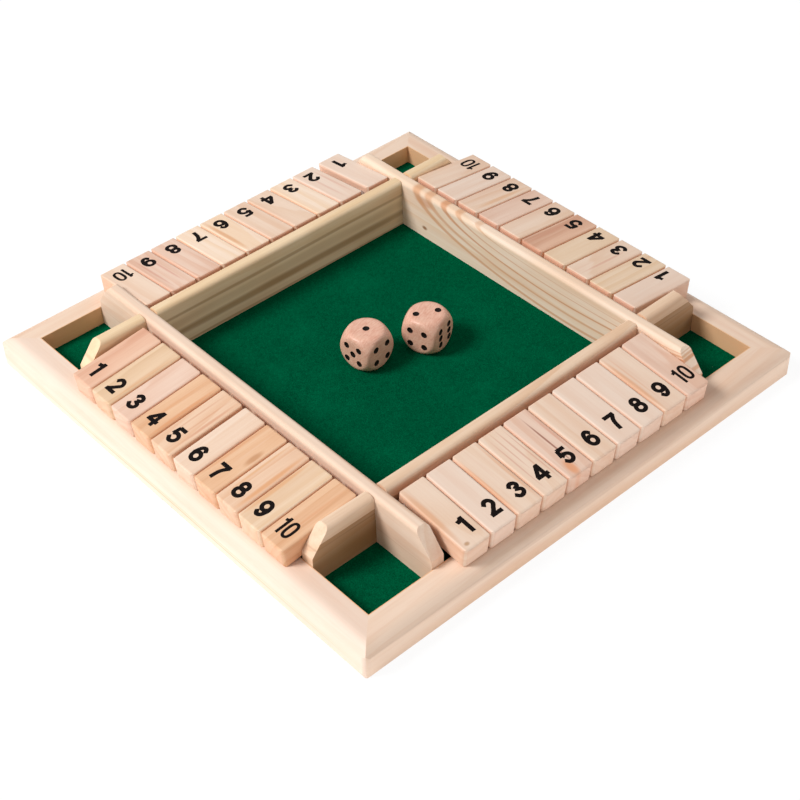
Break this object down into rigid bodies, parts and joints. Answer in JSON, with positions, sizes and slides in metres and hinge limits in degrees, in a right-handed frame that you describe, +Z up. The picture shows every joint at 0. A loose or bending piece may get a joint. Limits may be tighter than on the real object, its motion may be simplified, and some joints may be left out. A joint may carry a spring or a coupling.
{
  "type": "shut the box game",
  "caption": "Square four-sided shut the box game: a felt-lined wooden dice tray ringed by rows of numbered hinged tiles, with two dice.",
  "frame": {"origin": "middle of the underside, on the plane that the board rests on", "axes": "+Z up, +X towards the east row and +Y towards the north row; the south row faces -Y"},
  "size_m": [0.22, 0.22, 0.027],
  "materials": {
    "rail_pine": "sanded, unvarnished",
    "wall_pine": "sanded, unvarnished",
    "tile_pine": "sanded, unvarnished",
    "plywood": "raw",
    "felt": "short nap",
    "steel_wire": "drawn",
    "die_beech": "satin"
  },
  "bodies": {
    "board": {"base_board": "plywood", "felt_lining": "felt", "base_brads": "steel_wire", "frame_rail_south": "rail_pine", "wall_strip_south": "wall_pine", "tile_rod_south": "steel_wire", "frame_rail_east": "rail_pine", "wall_strip_east": "wall_pine", "tile_rod_east": "steel_wire", "frame_rail_north": "rail_pine", "wall_strip_north": "wall_pine", "tile_rod_north": "steel_wire", "frame_rail_west": "rail_pine", "wall_strip_west": "wall_pine", "tile_rod_west": "steel_wire"},
    "tile_south_01": {"tile_south_01": "tile_pine"},
    "tile_south_02": {"tile_south_02": "tile_pine"},
    "tile_south_03": {"tile_south_03": "tile_pine"},
    "tile_south_04": {"tile_south_04": "tile_pine"},
    "tile_south_05": {"tile_south_05": "tile_pine"},
    "tile_south_06": {"tile_south_06": "tile_pine"},
    "tile_south_07": {"tile_south_07": "tile_pine"},
    "tile_south_08": {"tile_south_08": "tile_pine"},
    "tile_south_09": {"tile_south_09": "tile_pine"},
    "tile_south_10": {"tile_south_10": "tile_pine"},
    "tile_east_01": {"tile_east_01": "tile_pine"},
    "tile_east_02": {"tile_east_02": "tile_pine"},
    "tile_east_03": {"tile_east_03": "tile_pine"},
    "tile_east_04": {"tile_east_04": "tile_pine"},
    "tile_east_05": {"tile_east_05": "tile_pine"},
    "tile_east_06": {"tile_east_06": "tile_pine"},
    "tile_east_07": {"tile_east_07": "tile_pine"},
    "tile_east_08": {"tile_east_08": "tile_pine"},
    "tile_east_09": {"tile_east_09": "tile_pine"},
    "tile_east_10": {"tile_east_10": "tile_pine"},
    "tile_north_01": {"tile_north_01": "tile_pine"},
    "tile_north_02": {"tile_north_02": "tile_pine"},
    "tile_north_03": {"tile_north_03": "tile_pine"},
    "tile_north_04": {"tile_north_04": "tile_pine"},
    "tile_north_05": {"tile_north_05": "tile_pine"},
    "tile_north_06": {"tile_north_06": "tile_pine"},
    "tile_north_07": {"tile_north_07": "tile_pine"},
    "tile_north_08": {"tile_north_08": "tile_pine"},
    "tile_north_09": {"tile_north_09": "tile_pine"},
    "tile_north_10": {"tile_north_10": "tile_pine"},
    "tile_west_01": {"tile_west_01": "tile_pine"},
    "tile_west_02": {"tile_west_02": "tile_pine"},
    "tile_west_03": {"tile_west_03": "tile_pine"},
    "tile_west_04": {"tile_west_04": "tile_pine"},
    "tile_west_05": {"tile_west_05": "tile_pine"},
    "tile_west_06": {"tile_west_06": "tile_pine"},
    "tile_west_07": {"tile_west_07": "tile_pine"},
    "tile_west_08": {"tile_west_08": "tile_pine"},
    "tile_west_09": {"tile_west_09": "tile_pine"},
    "tile_west_10": {"tile_west_10": "tile_pine"},
    "die_one": {"die_one": "die_beech"},
    "die_two": {"die_two": "die_beech"}
  },
  "joints": [
    {"name": "tile_south_01_hinge", "type": "hinge", "parent": "board", "child": "tile_south_01", "pos_m": [-0.0553, -0.07548, 0.0209], "axis": [-1, 0, 0], "range_deg": [0, 111.5]},
    {"name": "tile_south_02_hinge", "type": "hinge", "parent": "board", "child": "tile_south_02", "pos_m": [-0.04275, -0.07548, 0.0209], "axis": [-1, 0, 0], "range_deg": [0, 111.5]},
    {"name": "tile_south_03_hinge", "type": "hinge", "parent": "board", "child": "tile_south_03", "pos_m": [-0.0302, -0.07548, 0.0209], "axis": [-1, 0, 0], "range_deg": [0, 111.5]},
    {"name": "tile_south_04_hinge", "type": "hinge", "parent": "board", "child": "tile_south_04", "pos_m": [-0.01765, -0.07548, 0.0209], "axis": [-1, 0, 0], "range_deg": [0, 111.5]},
    {"name": "tile_south_05_hinge", "type": "hinge", "parent": "board", "child": "tile_south_05", "pos_m": [-0.0051, -0.07548, 0.0209], "axis": [-1, 0, 0], "range_deg": [0, 111.5]},
    {"name": "tile_south_06_hinge", "type": "hinge", "parent": "board", "child": "tile_south_06", "pos_m": [0.00745, -0.07548, 0.0209], "axis": [-1, 0, 0], "range_deg": [0, 111.5]},
    {"name": "tile_south_07_hinge", "type": "hinge", "parent": "board", "child": "tile_south_07", "pos_m": [0.02, -0.07548, 0.0209], "axis": [-1, 0, 0], "range_deg": [0, 111.5]},
    {"name": "tile_south_08_hinge", "type": "hinge", "parent": "board", "child": "tile_south_08", "pos_m": [0.03255, -0.07548, 0.0209], "axis": [-1, 0, 0], "range_deg": [0, 111.5]},
    {"name": "tile_south_09_hinge", "type": "hinge", "parent": "board", "child": "tile_south_09", "pos_m": [0.0451, -0.07548, 0.0209], "axis": [-1, 0, 0], "range_deg": [0, 111.5]},
    {"name": "tile_south_10_hinge", "type": "hinge", "parent": "board", "child": "tile_south_10", "pos_m": [0.05765, -0.07548, 0.0209], "axis": [-1, 0, 0], "range_deg": [0, 111.5]},
    {"name": "tile_east_01_hinge", "type": "hinge", "parent": "board", "child": "tile_east_01", "pos_m": [0.07548, -0.0553, 0.0209], "axis": [0, -1, 0], "range_deg": [0, 111.5]},
    {"name": "tile_east_02_hinge", "type": "hinge", "parent": "board", "child": "tile_east_02", "pos_m": [0.07548, -0.04275, 0.0209], "axis": [0, -1, 0], "range_deg": [0, 111.5]},
    {"name": "tile_east_03_hinge", "type": "hinge", "parent": "board", "child": "tile_east_03", "pos_m": [0.07548, -0.0302, 0.0209], "axis": [0, -1, 0], "range_deg": [0, 111.5]},
    {"name": "tile_east_04_hinge", "type": "hinge", "parent": "board", "child": "tile_east_04", "pos_m": [0.07548, -0.01765, 0.0209], "axis": [0, -1, 0], "range_deg": [0, 111.5]},
    {"name": "tile_east_05_hinge", "type": "hinge", "parent": "board", "child": "tile_east_05", "pos_m": [0.07548, -0.0051, 0.0209], "axis": [0, -1, 0], "range_deg": [0, 111.5]},
    {"name": "tile_east_06_hinge", "type": "hinge", "parent": "board", "child": "tile_east_06", "pos_m": [0.07548, 0.00745, 0.0209], "axis": [0, -1, 0], "range_deg": [0, 111.5]},
    {"name": "tile_east_07_hinge", "type": "hinge", "parent": "board", "child": "tile_east_07", "pos_m": [0.07548, 0.02, 0.0209], "axis": [0, -1, 0], "range_deg": [0, 111.5]},
    {"name": "tile_east_08_hinge", "type": "hinge", "parent": "board", "child": "tile_east_08", "pos_m": [0.07548, 0.03255, 0.0209], "axis": [0, -1, 0], "range_deg": [0, 111.5]},
    {"name": "tile_east_09_hinge", "type": "hinge", "parent": "board", "child": "tile_east_09", "pos_m": [0.07548, 0.0451, 0.0209], "axis": [0, -1, 0], "range_deg": [0, 111.5]},
    {"name": "tile_east_10_hinge", "type": "hinge", "parent": "board", "child": "tile_east_10", "pos_m": [0.07548, 0.05765, 0.0209], "axis": [0, -1, 0], "range_deg": [0, 111.5]},
    {"name": "tile_north_01_hinge", "type": "hinge", "parent": "board", "child": "tile_north_01", "pos_m": [0.05765, 0.07548, 0.0209], "axis": [1, 0, 0], "range_deg": [0, 111.5]},
    {"name": "tile_north_02_hinge", "type": "hinge", "parent": "board", "child": "tile_north_02", "pos_m": [0.04275, 0.07548, 0.0209], "axis": [1, 0, 0], "range_deg": [0, 111.5]},
    {"name": "tile_north_03_hinge", "type": "hinge", "parent": "board", "child": "tile_north_03", "pos_m": [0.0302, 0.07548, 0.0209], "axis": [1, 0, 0], "range_deg": [0, 111.5]},
    {"name": "tile_north_04_hinge", "type": "hinge", "parent": "board", "child": "tile_north_04", "pos_m": [0.01765, 0.07548, 0.0209], "axis": [1, 0, 0], "range_deg": [0, 111.5]},
    {"name": "tile_north_05_hinge", "type": "hinge", "parent": "board", "child": "tile_north_05", "pos_m": [0.0051, 0.07548, 0.0209], "axis": [1, 0, 0], "range_deg": [0, 111.5]},
    {"name": "tile_north_06_hinge", "type": "hinge", "parent": "board", "child": "tile_north_06", "pos_m": [-0.00745, 0.07548, 0.0209], "axis": [1, 0, 0], "range_deg": [0, 111.5]},
    {"name": "tile_north_07_hinge", "type": "hinge", "parent": "board", "child": "tile_north_07", "pos_m": [-0.02, 0.07548, 0.0209], "axis": [1, 0, 0], "range_deg": [0, 111.5]},
    {"name": "tile_north_08_hinge", "type": "hinge", "parent": "board", "child": "tile_north_08", "pos_m": [-0.03255, 0.07548, 0.0209], "axis": [1, 0, 0], "range_deg": [0, 111.5]},
    {"name": "tile_north_09_hinge", "type": "hinge", "parent": "board", "child": "tile_north_09", "pos_m": [-0.0451, 0.07548, 0.0209], "axis": [1, 0, 0], "range_deg": [0, 111.5]},
    {"name": "tile_north_10_hinge", "type": "hinge", "parent": "board", "child": "tile_north_10", "pos_m": [-0.05765, 0.07548, 0.0209], "axis": [1, 0, 0], "range_deg": [0, 111.5]},
    {"name": "tile_west_01_hinge", "type": "hinge", "parent": "board", "child": "tile_west_01", "pos_m": [-0.07548, 0.05612, 0.0209], "axis": [0, 1, 0], "range_deg": [0, 111.5]},
    {"name": "tile_west_02_hinge", "type": "hinge", "parent": "board", "child": "tile_west_02", "pos_m": [-0.07548, 0.04357, 0.0209], "axis": [0, 1, 0], "range_deg": [0, 111.5]},
    {"name": "tile_west_03_hinge", "type": "hinge", "parent": "board", "child": "tile_west_03", "pos_m": [-0.07548, 0.03102, 0.0209], "axis": [0, 1, 0], "range_deg": [0, 111.5]},
    {"name": "tile_west_04_hinge", "type": "hinge", "parent": "board", "child": "tile_west_04", "pos_m": [-0.07548, 0.01847, 0.0209], "axis": [0, 1, 0], "range_deg": [0, 111.5]},
    {"name": "tile_west_05_hinge", "type": "hinge", "parent": "board", "child": "tile_west_05", "pos_m": [-0.07548, 0.00592, 0.0209], "axis": [0, 1, 0], "range_deg": [0, 111.5]},
    {"name": "tile_west_06_hinge", "type": "hinge", "parent": "board", "child": "tile_west_06", "pos_m": [-0.07548, -0.00745, 0.0209], "axis": [0, 1, 0], "range_deg": [0, 111.5]},
    {"name": "tile_west_07_hinge", "type": "hinge", "parent": "board", "child": "tile_west_07", "pos_m": [-0.07548, -0.02, 0.0209], "axis": [0, 1, 0], "range_deg": [0, 111.5]},
    {"name": "tile_west_08_hinge", "type": "hinge", "parent": "board", "child": "tile_west_08", "pos_m": [-0.07548, -0.03255, 0.0209], "axis": [0, 1, 0], "range_deg": [0, 111.5]},
    {"name": "tile_west_09_hinge", "type": "hinge", "parent": "board", "child": "tile_west_09", "pos_m": [-0.07548, -0.0451, 0.0209], "axis": [0, 1, 0], "range_deg": [0, 111.5]},
    {"name": "tile_west_10_hinge", "type": "hinge", "parent": "board", "child": "tile_west_10", "pos_m": [-0.07548, -0.05765, 0.0209], "axis": [0, 1, 0], "range_deg": [0, 111.5]},
    {"name": "die_one_lift", "type": "slide", "parent": "board", "child": "die_one", "axis": [0, 0, 1], "range_m": [0, 0.06]},
    {"name": "die_two_lift", "type": "slide", "parent": "board", "child": "die_two", "axis": [0, 0, 1], "range_m": [0, 0.06]}
  ]
}
